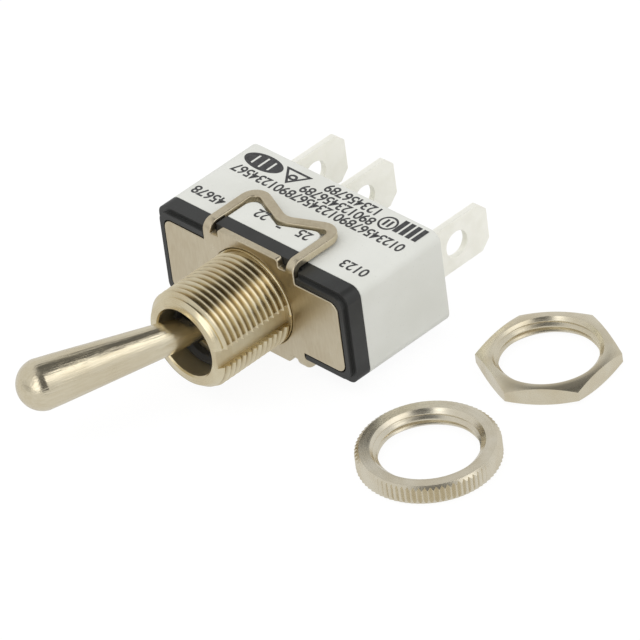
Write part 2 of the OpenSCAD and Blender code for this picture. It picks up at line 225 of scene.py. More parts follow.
# Back to metres, smooth shading, and onto its body
def handOver(piece, material, body, nodes=(), angle=32, weigh=False):
    piece.data.transform(Matrix.Scale(mm, 4))
    piece.data.materials.clear()
    piece.data.materials.append(material)
    pickUp(piece)
    bpy.ops.object.shade_smooth_by_angle(angle=math.radians(angle))
    if weigh:
        finishWith(piece, "WEIGHTED_NORMAL", keep_sharp=True, weight=80)
    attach(piece, body)
    if nodes:
        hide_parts(*nodes)
    return piece


# Gives the faces whose middles, in millimetres, pass a test a finish of their own
def rubIn(piece, material, wanted):
    piece.data.materials.append(material)
    startEdit(piece, "FACE")
    bpy.ops.mesh.select_all(action="DESELECT")
    stopEdit()
    for face in piece.data.polygons:
        face.select = wanted(face.center / mm)
    piece.active_material_index = len(piece.material_slots) - 1
    bpy.ops.object.mode_set(mode="EDIT")
    bpy.ops.object.material_slot_assign()
    stopEdit()


def newGroup(name, inputs, outputs):
    group = bpy.data.node_groups.new(name, "ShaderNodeTree")
    for label, kind, value in inputs:
        socket = group.interface.new_socket(label, in_out="INPUT", socket_type=kind)
        if value is not None:
            socket.default_value = value
    for label, kind in outputs:
        group.interface.new_socket(label, in_out="OUTPUT", socket_type=kind)
    return group, group.nodes.new("NodeGroupInput"), group.nodes.new("NodeGroupOutput")


def addNode(tree, kind, **settings):
    node = tree.nodes.new(kind)
    for setting, value in settings.items():
        setattr(node, setting, value)
    return node


def addMath(tree, operation, first, second=None, third=None):
    node = addNode(tree, "ShaderNodeMath", operation=operation)
    for i, value in enumerate((first, second, third)):
        if value is None:
            continue
        if isinstance(value, (int, float)):
            node.inputs[i].default_value = value
        else:
            tree.links.new(value, node.inputs[i])
    return node.outputs[0]


def addRange(tree, value, fromLow, fromHigh, toLow=0.0, toHigh=1.0, kind="SMOOTHSTEP"):
    node = addNode(tree, "ShaderNodeMapRange", interpolation_type=kind)
    for label, given in (("Value", value), ("From Min", fromLow), ("From Max", fromHigh),
                         ("To Min", toLow), ("To Max", toHigh)):
        if isinstance(given, (int, float)):
            node.inputs[label].default_value = given
        else:
            tree.links.new(given, node.inputs[label])
    return node.outputs["Result"]


def addNoise(tree, vector, scale, detail=2.0, rough=0.5):
    node = addNode(tree, "ShaderNodeTexNoise")
    node.inputs["Scale"].default_value = scale
    node.inputs["Detail"].default_value = detail
    node.inputs["Roughness"].default_value = rough
    tree.links.new(vector, node.inputs["Vector"])
    return node.outputs["Fac"]


# Fine lines drawn out along one way, with cells counted per millimetre along each axis
def makeDrawnGrain():
    group, inner, outer = newGroup("drawnGrain", [("Vector", "NodeSocketVector", None),
        ("Per Millimetre", "NodeSocketVector", (1, 1, 1))], [("Mask", "NodeSocketFloat")])
    stretch = addNode(group, "ShaderNodeVectorMath", operation="MULTIPLY")
    group.links.new(inner.outputs["Vector"], stretch.inputs[0])
    group.links.new(inner.outputs["Per Millimetre"], stretch.inputs[1])
    fine = addNoise(group, stretch.outputs[0], toMm, detail=4, rough=0.6)
    group.links.new(addRange(group, fine, 0.3, 0.7), outer.inputs["Mask"])
    return group


# The rings that a lathe leaves, on a piece whose own axis is Z of the vector
def makeLatheRings():
    group, inner, outer = newGroup("latheRings", [("Vector", "NodeSocketVector", None),
        ("Per Millimetre", "NodeSocketFloat", 10.0)], [("Mask", "NodeSocketFloat")])
    split = addNode(group, "ShaderNodeSeparateXYZ")
    group.links.new(inner.outputs["Vector"], split.inputs[0])
    across = addMath(group, "SQRT", addMath(group, "ADD",
        addMath(group, "MULTIPLY", split.outputs["X"], split.outputs["X"]),
        addMath(group, "MULTIPLY", split.outputs["Y"], split.outputs["Y"])))
    join = addNode(group, "ShaderNodeCombineXYZ")
    density = addMath(group, "MULTIPLY", inner.outputs["Per Millimetre"], toMm)
    group.links.new(addMath(group, "MULTIPLY", across, density), join.inputs["X"])
    group.links.new(addMath(group, "MULTIPLY", split.outputs["Z"], density), join.inputs["Y"])
    angle = addMath(group, "ARCTAN2", split.outputs["Y"], split.outputs["X"])
    group.links.new(addMath(group, "MULTIPLY", angle, 0.35), join.inputs["Z"])
    rings = addNoise(group, join.outputs[0], 1, detail=1)
    group.links.new(addRange(group, rings, 0.3, 0.7), outer.inputs["Mask"])
    return group


# Painted shade in a thread's roots, darker from the crest toward the root and in patches, on a piece whose own axis is
# Z of the vector
def makeThreadRootShade():
    group, inner, outer = newGroup("threadRootShade", [("Vector", "NodeSocketVector", None),
        ("Crest", "NodeSocketFloat", 5.9), ("Root", "NodeSocketFloat", 5.5)], [("Mask", "NodeSocketFloat")])
    flat = addNode(group, "ShaderNodeVectorMath", operation="MULTIPLY")
    flat.inputs[1].default_value = (toMm, toMm, 0)
    group.links.new(inner.outputs["Vector"], flat.inputs[0])
    across = addNode(group, "ShaderNodeVectorMath", operation="LENGTH")
    group.links.new(flat.outputs[0], across.inputs[0])
    deep = addRange(group, across.outputs["Value"], inner.outputs["Crest"], inner.outputs["Root"])
    patchy = addRange(group, addNoise(group, inner.outputs["Vector"], 0.5 * toMm, detail=3), 0.3, 0.65, 0.55, 1.0)
    group.links.new(addMath(group, "MULTIPLY", deep, patchy), outer.inputs["Mask"])
    return group


# Soft clouds, as fingers and plating leave
def makeClouds():
    group, inner, outer = newGroup("clouds", [("Vector", "NodeSocketVector", None),
        ("Size", "NodeSocketFloat", 4.0)], [("Mask", "NodeSocketFloat")])
    noise = addNode(group, "ShaderNodeTexNoise")
    noise.inputs["Detail"].default_value = 4
    noise.inputs["Roughness"].default_value = 0.55
    group.links.new(inner.outputs["Vector"], noise.inputs["Vector"])
    group.links.new(addMath(group, "DIVIDE", toMm, inner.outputs["Size"]), noise.inputs["Scale"])
    group.links.new(addRange(group, noise.outputs["Fac"], 0.32, 0.68), outer.inputs["Mask"])
    return group


# The fine skin of a moulding: a spark-eroded pebble with a few specks
def makeMouldSkin():
    group, inner, outer = newGroup("mouldSkin", [("Vector", "NodeSocketVector", None),
        ("Size", "NodeSocketFloat", 0.1)], [("Height", "NodeSocketFloat"), ("Specks", "NodeSocketFloat")])
    scale = addMath(group, "DIVIDE", toMm, inner.outputs["Size"])
    noise = addNode(group, "ShaderNodeTexNoise")
    noise.inputs["Detail"].default_value = 3
    cells = addNode(group, "ShaderNodeTexVoronoi")
    for node in (noise, cells):
        group.links.new(inner.outputs["Vector"], node.inputs["Vector"])
    group.links.new(scale, noise.inputs["Scale"])
    group.links.new(addMath(group, "MULTIPLY", scale, 0.12), cells.inputs["Scale"])
    group.links.new(noise.outputs["Fac"], outer.inputs["Height"])
    group.links.new(addRange(group, cells.outputs["Distance"], 0.05, 0.11, 1.0, 0.0), outer.inputs["Specks"])
    return group


effects = {"drawnGrain": makeDrawnGrain(), "latheRings": makeLatheRings(), "threadRootShade": makeThreadRootShade(),
           "clouds": makeClouds(), "mouldSkin": makeMouldSkin()}
print("shared effects: %d groups" % len(effects))


# A new material with its shader and its own coordinates, turned and centred by a Mapping node
def newMaterial(name, centre=(0, 0, 0), turn=(0, 0, 0)):
    material = bpy.data.materials.new(name)
    material.use_nodes = True
    tree = material.node_tree
    coordinates = addNode(tree, "ShaderNodeTexCoord")
    place = addNode(tree, "ShaderNodeMapping", vector_type="TEXTURE")
    place.inputs["Location"].default_value = [value * mm for value in centre]
    place.inputs["Rotation"].default_value = [math.radians(value) for value in turn]
    tree.links.new(coordinates.outputs["Object"], place.inputs["Vector"])
    return material, tree, tree.nodes["Principled BSDF"], place.outputs["Vector"]


# Places a shared effect; an underscore in a setting's name is a space in its socket's
def addEffect(tree, name, vector, **values):
    node = addNode(tree, "ShaderNodeGroup", node_tree=effects[name])
    tree.links.new(vector, node.inputs["Vector"])
    for label, value in values.items():
        node.inputs[label.replace("_", " ")].default_value = value
    return node.outputs


# A colour mix: sockets 6 and 7 and output 2 are the node's colour ones
def addMix(tree, mask, first, second):
    node = addNode(tree, "ShaderNodeMix", data_type="RGBA")
    tree.links.new(mask, node.inputs[0])
    for socket, value in ((node.inputs[6], first), (node.inputs[7], second)):
        if isinstance(value, tuple):
            socket.default_value = (*value, 1)
        else:
            tree.links.new(value, socket)
    return node.outputs[2]


def addBump(tree, shader, height, depth):
    node = addNode(tree, "ShaderNodeBump")
    node.inputs["Distance"].default_value = depth * mm
    node.inputs["Strength"].default_value = 1
    tree.links.new(height, node.inputs["Height"])
    tree.links.new(node.outputs["Normal"], shader.inputs["Normal"])


# Two masks blended, with the first one's share given
def addBlend(tree, share, first, second):
    return addMath(tree, "ADD", addMath(tree, "MULTIPLY", first, share), addMath(tree, "MULTIPLY", second, 1 - share))


def addWear(tree, shader, worn, smooth, rough):
    tree.links.new(addRange(tree, worn, 0, 1, smooth, rough, "LINEAR"), shader.inputs["Roughness"])


# Plating colours, clean and clouded
plating = {"nickel": ((0.77, 0.71, 0.56), (0.7, 0.62, 0.455)), "gold": ((0.78, 0.7, 0.5), (0.7, 0.6, 0.4)),
           "sheet": ((0.69, 0.615, 0.46), (0.61, 0.525, 0.37)), "lever": ((0.77, 0.7, 0.535), (0.69, 0.605, 0.43)),
           "nut": ((0.8, 0.745, 0.61), (0.73, 0.66, 0.51))}
# Painted shade for the thread's roots: its brown colour, and how strongly it darkens them
paintedRootShade = {"colour": (0.33, 0.25, 0.13), "strength": 0.8}


# Nickel plate over turned brass: rings from the lathe under the plate, and painted shade in the thread's roots from a
# crest to a root radius
def makeTurnedPlate(name, tone, smooth, rough, depth, density, centre=(0, 0, 0), turn=(0, 0, 0), rootShadeSpan=None):
    material, tree, shader, vector = newMaterial(name, centre, turn)
    rings = addEffect(tree, "latheRings", vector, Per_Millimetre=density)["Mask"]
    clouds = addEffect(tree, "clouds", vector, Size=3.5)["Mask"]
    shader.inputs["Metallic"].default_value = 1
    tint = addMix(tree, clouds, *plating[tone])
    # Painted shade darkens the thread's roots, between the crest and root radii
    if rootShadeSpan:
        rootShadeMask = addEffect(tree, "threadRootShade", vector, Crest=rootShadeSpan[0], Root=rootShadeSpan[1])["Mask"]
        tint = addMix(tree, addMath(tree, "MULTIPLY", rootShadeMask, paintedRootShade["strength"]), tint, paintedRootShade["colour"])
    tree.links.new(tint, shader.inputs["Base Color"])
    addWear(tree, shader, addBlend(tree, 0.6, rings, clouds), smooth, rough)
    addBump(tree, shader, rings, depth)
    return material


# Nickel plate with fine lines drawn along one way
def makeDrawnPlate(name, tone, smooth, rough, depth, lines, centre=(0, 0, 0), turn=(0, 0, 0)):
    material, tree, shader, vector = newMaterial(name, centre, turn)
    grain = addEffect(tree, "drawnGrain", vector, Per_Millimetre=lines)["Mask"]
    clouds = addEffect(tree, "clouds", vector, Size=5.0)["Mask"]
    shader.inputs["Metallic"].default_value = 1
    tree.links.new(addMix(tree, addBlend(tree, 0.5, grain, clouds), *plating[tone]), shader.inputs["Base Color"])
    addWear(tree, shader, addBlend(tree, 0.6, grain, clouds), smooth, rough)
    addBump(tree, shader, grain, depth)
    return material


# Dull tin, part metal and part oxide
def makeTinned(name, light, dark, smooth, rough, depth, metal):
    material, tree, shader, vector = newMaterial(name)
    grain = addEffect(tree, "drawnGrain", vector, Per_Millimetre=(4.0, 0.6, 9.0))["Mask"]
    clouds = addEffect(tree, "clouds", vector, Size=2.2)["Mask"]
    shader.inputs["Metallic"].default_value = metal
    tree.links.new(addMix(tree, clouds, light, dark), shader.inputs["Base Color"])
    addWear(tree, shader, addMath(tree, "MULTIPLY", grain, clouds), smooth, rough)
    addBump(tree, shader, grain, depth)
    return material


moulding = {"pebble": 0.09, "pebbleDepth": 0.004, "clouds": 7.0, "speckStrength": 0.35, "ior": 1.48}


# Moulded plastic or rubber, with a pebbled skin and a few specks
def makeMoulded(name, base, shade, specks, smooth, rough):
    material, tree, shader, vector = newMaterial(name)
    skin = addEffect(tree, "mouldSkin", vector, Size=moulding["pebble"])
    clouds = addEffect(tree, "clouds", vector, Size=moulding["clouds"])["Mask"]
    toned = addMix(tree, clouds, base, shade)
    speckled = addMath(tree, "MULTIPLY", skin["Specks"], moulding["speckStrength"])
    tree.links.new(addMix(tree, speckled, toned, specks), shader.inputs["Base Color"])
    addWear(tree, shader, clouds, smooth, rough)
    shader.inputs["IOR"].default_value = moulding["ior"]
    addBump(tree, shader, skin["Height"], moulding["pebbleDepth"])
    return material


def makeInk(name, light, dark, smooth, rough):
    material, tree, shader, vector = newMaterial(name)
    clouds = addEffect(tree, "clouds", vector, Size=0.5)["Mask"]
    tree.links.new(addMix(tree, clouds, light, dark), shader.inputs["Base Color"])
    addWear(tree, shader, clouds, smooth, rough)
    return material


def makePlainMetal(name, light, dark, smooth, rough):
    material, tree, shader, vector = newMaterial(name)
    clouds = addEffect(tree, "clouds", vector, Size=1.5)["Mask"]
    grain = addEffect(tree, "drawnGrain", vector, Per_Millimetre=(3.0, 3.0, 12.0))["Mask"]
    shader.inputs["Metallic"].default_value = 1
    tree.links.new(addMix(tree, clouds, light, dark), shader.inputs["Base Color"])
    addWear(tree, shader, grain, smooth, rough)
    addBump(tree, shader, grain, 0.001)
    return material


hexCentre, knurledCentre = (Vector(mounts[name]["pos_m"]) / mm for name in ("hex_nut_thread", "knurled_nut_thread"))
alongBushing, alongLever = (90, 0, 0), (90, 0, leverLean)
# Each finish by its colours, its smoothest and its roughest, then the depth of its bump and the lines in a millimetre
materials = {
    "bushing": makeTurnedPlate("plated_bushing", "gold", 0.17, 0.3, depth=0.0007, density=9.0, turn=alongBushing),
    # The thread's finish carries painted shade in its roots, from its crest radius down to its root radius
    "thread": makeTurnedPlate("plated_thread", "gold", 0.15, 0.26, depth=0.0004, density=5.0, turn=alongBushing,
                              rootShadeSpan=(5.93, 5.5)),
    "bore": makeTurnedPlate("plated_bore", "gold", 0.42, 0.55, depth=0.002, density=5.0, turn=alongBushing),
    "lever": makeDrawnPlate("plated_lever", "lever", 0.14, 0.3, depth=0.017, lines=(2.6, 2.6, 0.06), centre=pivot,
                            turn=alongLever),
    "bracket": makeDrawnPlate("plated_bracket", "sheet", 0.26, 0.4, depth=0.0016, lines=(3.0, 3.0, 0.6)),
    "hexNut": makeTurnedPlate("plated_hex_nut", "nickel", 0.22, 0.34, depth=0.0004, density=4.5, centre=hexCentre),
    "knurledNut": makeTurnedPlate("plated_knurled_nut", "nut", 0.2, 0.32, depth=0.0003, density=4.5,
                                  centre=knurledCentre),
    "tinned": makeTinned("tinned_blade", (0.98, 0.97, 0.895), (0.93, 0.92, 0.835), 0.42, 0.58, depth=0.0015,
                         metal=0.38),
    "case": makeMoulded("case_plastic", (0.715, 0.72, 0.675), (0.68, 0.685, 0.635), (0.5, 0.5, 0.47), 0.42, 0.5),
    "cover": makeMoulded("cover_plastic", (0.025, 0.026, 0.0245), (0.02, 0.0205, 0.0195), (0.045, 0.045, 0.045),
                         0.36, 0.46),
    "seal": makeMoulded("seal_rubber", (0.03, 0.03, 0.029), (0.038, 0.037, 0.036), (0.06, 0.06, 0.06), 0.6, 0.8),
    "ink": makeInk("print_ink", (0.03, 0.03, 0.031), (0.065, 0.065, 0.066), 0.45, 0.7),
    "contactBrass": makePlainMetal("contact_brass", (0.66, 0.44, 0.16), (0.58, 0.37, 0.13), 0.25, 0.4),
    "contactSilver": makePlainMetal("contact_silver", (0.88, 0.87, 0.84), (0.78, 0.77, 0.74), 0.2, 0.35),
    "pinSteel": makePlainMetal("pin_steel", (0.55, 0.55, 0.54), (0.46, 0.46, 0.45), 0.22, 0.36),
    "plunger": makeMoulded("plunger_plastic", (0.05, 0.05, 0.05), (0.04, 0.04, 0.04), (0.09, 0.09, 0.09), 0.3, 0.4),
}
print("materials: %d" % len(materials))


# These inner pieces keep their CAD shape and get their finish here
innerFinishes = {"seal_ring": "seal", "pivot_pin": "pinSteel", "rocker": "contactBrass", "rocker_pin": "pinSteel",
                 "moving_contact_left": "contactSilver", "moving_contact_right": "contactSilver",
                 "fixed_contact_left": "contactSilver", "fixed_contact_right": "contactSilver"}

for node, finish in innerFinishes.items():
    mesh = frame["nodes"][node].data
    mesh.materials.clear()
    mesh.materials.append(materials[finish])
handOver(fromNode("plunger", "moulded_plunger"), materials["plunger"], "plunger", ["plunger"])


coil = fromNode("plunger_spring", "return_spring")
handOver(coil, materials["pinSteel"], "lever", ["plunger_spring"])
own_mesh(coil)
print("inner pieces")


# The cover's bevel runs round its outer rim alone: in front of rimBack, and past rimInset from the case's corner
housing = {"caseEdge": 0.18, "rimEdge": 0.24, "segments": 3, "rimBack": 1, "rimInset": (0.6, 0, 1.5)}

casing = roundEdges(fromNode("case", "moulded_case"), housing["caseEdge"], housing["segments"])
handOver(casing, materials["case"], "base", ["case"], weigh=True)
blackCover = fromNode("cover", "moulded_cover")
rim = nodeBox("case")[1] - Vector(housing["rimInset"])
selectSharp(blackCover, 20, lambda spot: spot.y < housing["rimBack"] and (abs(spot.x) > rim.x or abs(spot.z) > rim.z))
bpy.ops.mesh.bevel(offset=housing["rimEdge"], segments=housing["segments"], clamp_overlap=True)
weld(touching["carved"])
stopEdit()
handOver(blackCover, materials["cover"], "base", ["cover"], weigh=True)
print("case and cover")


sheetMetal = {"bracketEdge": 0.14, "bladeEdge": 0.1}

stamping = roundEdges(fromNode("bracket", "stamped_bracket"), sheetMetal["bracketEdge"])
handOver(stamping, materials["bracket"], "base", ["bracket"], weigh=True)
for node in ("end_terminal_left", "end_terminal_right", "common_terminal"):
    blade = roundEdges(fromNode(node, node.replace("terminal", "blade")), sheetMetal["bladeEdge"], 2)
    handOver(blade, materials["tinned"], "base", [node], weigh=True)
print("bracket and terminals")


# Radii and lengths from the panel's face. nose: how far in and down its chamfer reaches, and how its two edges are
# softened; undercut: start, end, radius, slope; flange: radius, sheet in front of it, thickness; ball and lip:
# radius, and length behind or before the pivot; key: width, depth, and the radius where it turns dull; dullBore:
# radius, and how far inside the mouth it starts
bushing = {"outer": 5.95, "length": 10.7, "mouth": 4.14, "mouthEdge": 0.18, "seat": 3.5,
           "nose": (0.75, 0.95), "noseSoft": (0.05, 0.07, 0.04), "undercut": (0.25, 0.55, 5.65, 0.1),
           "shank": 5.9, "flange": (6.75, 0.9, 0.6), "tail": 4.57, "ball": (3.05, 2.8), "lip": (2.55, 1.7),
           "key": (2.3, 0.9, 4), "dullBore": (4.3, 0.3), "steps": 144}
thread = {"pitch": 0.794, "root": 5.46, "rootHalf": 0.05, "shoulder": 5.9, "shoulderHalf": 0.304,
          "open": 5.97, "openHalf": 0.36, "start": 0.4, "turns": 14, "flanks": (5.3, 5.88)}

outer, length, mouth, mouthEdge = (bushing[name] for name in ("outer", "length", "mouth", "mouthEdge"))
pivotDepth = -pivot.y
noseIn, noseDown = bushing["nose"]
softHalf, softDrop, softIn = bushing["noseSoft"]
nearCut, farCut, cutRadius, cutSlope = bushing["undercut"]
flangeRadius, sheetDepth, flangeDepth = bushing["flange"]
flangeBack = -sheetDepth - flangeDepth
ballRadius, ballBelow = bushing["ball"]
lipRadius, lipAbove = bushing["lip"]
sleeve = turnOnLathe("threaded_bushing", [
    (mouth, length - mouthEdge), (mouth + mouthEdge, length),
    (outer - noseIn - softHalf, length), (outer - noseIn + softHalf, length - softDrop),
    (outer - softIn, length - noseDown + softHalf), (outer, length - noseDown - softHalf),
    (outer, farCut), (cutRadius, farCut - cutSlope), (cutRadius, nearCut), (outer, nearCut),
    (outer, 0), (bushing["shank"], -sheetDepth), (flangeRadius, -sheetDepth), (flangeRadius, flangeBack),
    (bushing["tail"], flangeBack), (bushing["tail"], pivotDepth - ballBelow),
    (ballRadius, pivotDepth - ballBelow), (ballRadius, pivotDepth), (lipRadius, pivotDepth + lipAbove),
    (lipRadius, length - bushing["seat"]), (mouth, length - bushing["seat"]), (mouth, length - mouthEdge)],
    bushing["steps"])
carve(sleeve, threadCutter([
    (thread["root"], -thread["rootHalf"]), (thread["shoulder"], -thread["shoulderHalf"]),
    (thread["open"], -thread["openHalf"]), (thread["open"], thread["openHalf"]),
    (thread["shoulder"], thread["shoulderHalf"]), (thread["root"], thread["rootHalf"])],
    thread["pitch"], thread["start"], thread["turns"]))
keyWidth, keyDepth, keyDull = bushing["key"]
keyHalf = keyWidth / 2
carve(sleeve, boxBlank("keyway", (outer - keyDepth, -keyHalf, nearCut), (outer + 1, keyHalf, length + 1)))
sleeve.data.transform(outOfPanel)
handOver(sleeve, materials["bushing"], "base", ["bushing"], 40)
flankLow, flankHigh = thread["flanks"]
boreRadius, boreStart = bushing["dullBore"]
rubIn(sleeve, materials["thread"], lambda spot: flankLow < math.hypot(spot.x, spot.z) < flankHigh
      and noseDown - length < spot.y < -nearCut)
rubIn(sleeve, materials["bore"], lambda spot: math.hypot(spot.x, spot.z) < boreRadius and spot.y > boreStart - length
      or spot.x > keyDull and abs(spot.z) < keyHalf - 0.01 and spot.y < -nearCut)
print("bushing: %d faces" % len(sleeve.data.polygons))


# Radii and places along the lever from its pivot; neckStep and the flares are offsets in radius and length
lever = {"neck": 1.55, "neckEnd": 3.6, "neckStep": (0.03, 0.3), "shaft": 1.85, "shaftStart": 6.4,
         "flares": ((0.14, 1.1), (0.05, 0.4), (0, 0)), "reach": 21.4, "tip": 2.95, "ball": 3.0,
         "tail": 1.7, "tailEnd": 9.5, "bore": 1.1, "boreStart": 3.2, "rings": 8, "steps": 128}

slope = (lever["tip"] - lever["shaft"]) / (lever["reach"] - lever["shaftStart"])
shoulder = math.degrees(math.atan(slope))
ballTop = math.degrees(math.acos(lever["neck"] / lever["ball"]))
ballFoot = math.degrees(math.acos(lever["tail"] / lever["ball"]))
outline = [(0.0, -lever["boreStart"]), (lever["bore"], -lever["boreStart"]), (lever["bore"], -lever["tailEnd"]),
           (lever["tail"], -lever["tailEnd"])]
outline += arcPoints((0, 0), lever["ball"], -ballFoot, ballTop, 20)
outline += [(lever["neck"], lever["neckEnd"]),
            (lever["neck"] + lever["neckStep"][0], lever["neckEnd"] + lever["neckStep"][1])]
outline += [(lever["shaft"] - thinner, lever["shaftStart"] - lower) for thinner, lower in lever["flares"]]
for i in range(1, lever["rings"]):
    rise = (lever["reach"] - lever["shaftStart"]) * i / lever["rings"]
    outline.append((lever["shaft"] + slope * rise, lever["shaftStart"] + rise))
outline += arcPoints((0, lever["reach"]), lever["tip"], shoulder, 90, 24)
outline[-1] = (0.0, lever["reach"] + lever["tip"])
bat = turnOnLathe("bat_lever", outline, lever["steps"])
bat.data.transform(Matrix.Translation(pivot) @ Matrix.Rotation(math.radians(leverLean), 4, "Z") @ outOfPanel)
handOver(bat, materials["lever"], "lever", ["lever"], 40)
print("lever")


# nut holds the thread that both nuts have: openGap keeps its turns apart
nut = {"bore": 5.55, "root": 5.98, "rootHalf": 0.05, "open": 5.52, "openGap": 0.02, "start": -0.9, "turns": 5,
       "steps": 144}
hexNut = {"flats": 14.0, "thick": 2.2, "turn": 37, "faceInset": 0.1, "corner": 0.55, "past": 0.02,
          "countersink": 0.6}
knurledNut = {"outer": 8.0, "thick": 2.35, "edge": (0.5, 0.35), "past": 0.01, "teeth": 78, "toothDepth": 0.36,
              "toothFlank": 0.45, "countersink": 0.75}


# A ring with a countersunk, threaded bore
def nutRing(name, outside, thick, countersink):
    wide = nut["bore"] + countersink
    ring = turnOnLathe(name, [(nut["bore"], countersink), (wide, 0)] + outside
                       + [(wide, thick), (nut["bore"], thick - countersink), (nut["bore"], countersink)], nut["steps"])
    half = thread["pitch"] / 2 - nut["openGap"]
    return carve(ring, threadCutter([(nut["root"], -nut["rootHalf"]), (nut["open"], -half), (nut["open"], half),
                                     (nut["root"], nut["rootHalf"])], thread["pitch"], nut["start"], nut["turns"]))


# An upright prism that reaches past both faces of a nut
def nutBlank(vertices, radius, thick, turn=0):
    bpy.ops.mesh.primitive_cylinder_add(vertices=vertices, radius=radius, depth=thick + 1,
                                        location=(0, 0, thick / 2), rotation=(0, 0, math.radians(turn)))
    bpy.ops.object.transform_apply(location=True, rotation=True, scale=True)
    return bpy.context.active_object


def layDown(piece, node, turn=0):
    low, high = nodeBox(node)
    piece.data.transform(Matrix.Translation(((low.x + high.x) / 2, (low.y + high.y) / 2, low.z))
                         @ Matrix.Rotation(math.radians(turn), 4, "Z"))


thick, corner = hexNut["thick"], hexNut["corner"]
tipRadius, faceRadius = hexNut["flats"] / math.sqrt(3), hexNut["flats"] / 2 - hexNut["faceInset"]
hexagon = nutRing("hexagon_nut", [(faceRadius, 0), (tipRadius + hexNut["past"], corner),
                                  (tipRadius + hexNut["past"], thick - corner), (faceRadius, thick)],
                  thick, hexNut["countersink"])
carve(hexagon, nutBlank(6, tipRadius, thick, 30), "INTERSECT")
layDown(hexagon, "hex_nut", hexNut["turn"])
handOver(hexagon, materials["hexNut"], "base", ["hex_nut"], 30)

rimRadius, thick, teeth = knurledNut["outer"], knurledNut["thick"], knurledNut["teeth"]
edgeIn, edgeDown = knurledNut["edge"]
knurled = nutRing("knurled_nut_ring", [(rimRadius - edgeIn, 0), (rimRadius, edgeDown), (rimRadius, thick - edgeDown),
                                       (rimRadius - edgeIn, thick)], thick, knurledNut["countersink"])
gear = nutBlank(teeth * 4, rimRadius + knurledNut["past"], thick)
for places, share in (((1, 3), knurledNut["toothFlank"]), ((2,), 1.0)):  # of each tooth's four points
    startEdit(gear)
    bpy.ops.mesh.select_all(action="DESELECT")
    stopEdit()
    for point in gear.data.vertices:
        step = round(math.atan2(point.co.y, point.co.x) / math.tau * teeth * 4) % 4
        point.select = step in places
    bpy.ops.object.mode_set(mode="EDIT")
    inward = 1 - knurledNut["toothDepth"] * share / rimRadius
    bpy.ops.transform.resize(value=(inward, inward, 1), center_override=(0, 0, 0))
    stopEdit()
carve(knurled, gear, "INTERSECT")
layDown(knurled, "knurled_nut")
handOver(knurled, materials["knurledNut"], "base", ["knurled_nut"], 30)
print("nuts")


# The case's face and its pad lie below the top of the bracket's loop, by faceDrop and padDrop
ink = {"lift": 0.012, "size": 1.95, "bold": 0.038, "faceDrop": 1.2, "padDrop": 0.3}

loopTop = nodeBox("bracket")[1].z
faceTop, padTop = loopTop - ink["faceDrop"], loopTop - ink["padDrop"]
marks = []


# Lays a mark on the case, with its top toward the bushing
def layMark(mark, x, y, z):
    mark.data.transform(Matrix.Translation((x, y, z + ink["lift"])) @ Matrix.Rotation(math.pi, 4, "Z"))
    marks.append(mark)


# Brings a new mark at the origin to its size
def sizeMark(width, height):
    mark = bpy.context.active_object
    mark.scale = (width, height, 1)
    bpy.ops.object.transform_apply(location=True, rotation=True, scale=True)
    return mark


# A run of plain numbers, from its first character toward -X
def printRun(text, x, y, z, spacing=1.0):
    bpy.ops.object.text_add(location=(0, 0, 0))
    label = bpy.context.active_object
    label.data.body = text
    label.data.size = ink["size"]
    label.data.offset = ink["bold"]
    label.data.space_character = spacing
    label.data.align_y = "CENTER"
    pickUp(label)
    bpy.ops.object.convert(target="MESH")
    layMark(bpy.context.active_object, x, y, z)


# A bar of ink, by its width and height
def printBar(x, y, z, width, height):
    bpy.ops.mesh.primitive_plane_add(size=1, location=(0, 0, 0))
    layMark(sizeMark(width, height), x, y, z)


# An outline of ink, by its width, height and stroke: a ring, or a triangle where it has three corners
def printRound(x, y, z, width, height, stroke, corners=32):
    bpy.ops.mesh.primitive_circle_add(vertices=corners, radius=1, fill_type="NGON", location=(0, 0, 0))
    ring = sizeMark(width / 2, height / 2)
    startEdit(ring, "FACE")
    bpy.ops.mesh.inset(thickness=stroke)
    bpy.ops.mesh.delete(type="FACE")
    stopEdit()
    layMark(ring, x, y, z)


# A slice of an oval, between two places along its width
def printSlice(x, y, z, width, height, left, right):
    bpy.ops.mesh.primitive_circle_add(vertices=40, radius=1, fill_type="NGON", location=(0, 0, 0))
    piece = sizeMark(width / 2, height / 2)
    startEdit(piece, "FACE")
    bpy.ops.mesh.bisect(plane_co=(left, 0, 0), plane_no=(1, 0, 0), clear_inner=True)
    bpy.ops.mesh.select_all(action="SELECT")
    bpy.ops.mesh.bisect(plane_co=(right, 0, 0), plane_no=(1, 0, 0), clear_outer=True)
    stopEdit()
    layMark(piece, x, y, z)


# Rows of plain numbers that only count up, by place and spacing, and two numbers on the pad
for text, x, y, spacing in (("0123456789012345678901234567", 13.5, 10.6, 0.96), ("890123456789", 7.45, 12.2, 0.95),
                            ("123456789", 6.9, 13.9, 0.957), ("0123", 13.6, 4.95, 1.02), ("45678", -8.6, 5.0, 0.98)):
    printRun(text, x, y, faceTop, spacing)
printRun("25", 4.75, 5.2, padTop)
printBar(0.47, 4.45, padTop, 0.72, 0.27)
printRun("22", -1.65, 5.1, padTop)

# An oval field with three gaps, a bordered triangle, a ring with two strokes in it and a block of four bars,
# each by its place, its width and height, and the stroke and corners of an outline
printRound(-10.4, 12.9, faceTop, 5.6, 2.65, 0.4, 40)
for left, right in ((-2.4, -1.38), (-1.1, -0.14), (0.14, 1.1), (1.38, 2.4)):
    printSlice(-10.4, 12.9, faceTop, 4.79, 1.84, left, right)
printRound(-5.8, 13.2, faceTop, 4.7, 3.3, 0.3, 3)
printRound(-5.8, 12.85, faceTop, 1.3, 1.0, 0.3, 12)
printRound(8.8, 13.0, faceTop, 2.46, 2.4, 0.26)
for x in (9.12, 8.48):
    printBar(x, 13.0, faceTop, 0.34, 1.2)
for x in (10.41, 11.37, 12.33, 13.29):
    printBar(x, 13.4, faceTop, 0.68, 2.3)

